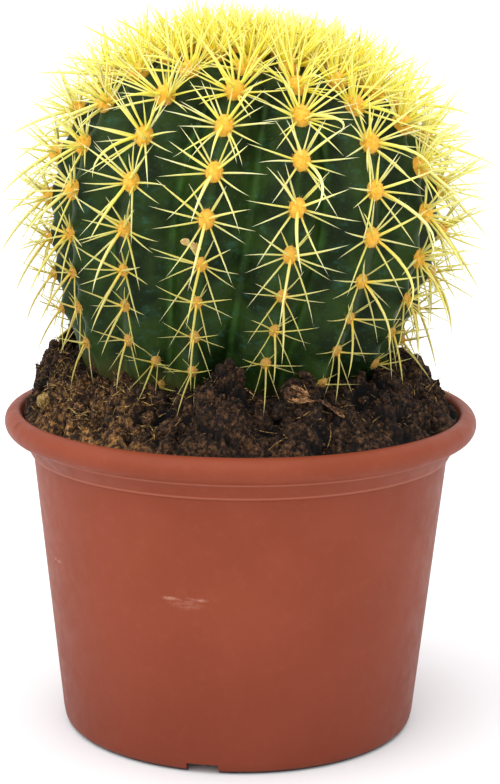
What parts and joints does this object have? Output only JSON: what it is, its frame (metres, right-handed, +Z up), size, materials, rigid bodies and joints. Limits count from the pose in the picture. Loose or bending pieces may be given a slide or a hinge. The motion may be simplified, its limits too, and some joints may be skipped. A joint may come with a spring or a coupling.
{
  "type": "potted round cactus",
  "caption": "Round ribbed cactus with yellow spines, planted in dark soil in a tapered round nursery pot with a rolled rim.",
  "frame": {"origin": "centre of the pot's foot, on the surface it stands on", "axes": "+Z up along the pot's axis; -Y towards the viewer, where the plant's front ribs face; +X to the viewer's right, the way the plant leans"},
  "size_m": [0.1778, 0.1775, 0.2654],
  "materials": {
    "terracotta_plastic": "satin moulded polypropylene in terracotta red",
    "peat_soil": "crumbly dark peat with ochre fibres",
    "cactus_stem": "waxy dark green skin, with orange felt pads and pale yellow spines",
    "young_spines": "bright yellow young spines on cream felt",
    "dry_husk": "papery dry husk",
    "pale_grit": "porous pale crumb"
  },
  "bodies": {
    "root": {"pot": "terracotta_plastic", "soil": "peat_soil", "stem_with_spines": "cactus_stem", "crown_of_young_spines": "young_spines", "dry_flake": "dry_husk", "pale_crumb": "pale_grit"}
  },
  "joints": []
}
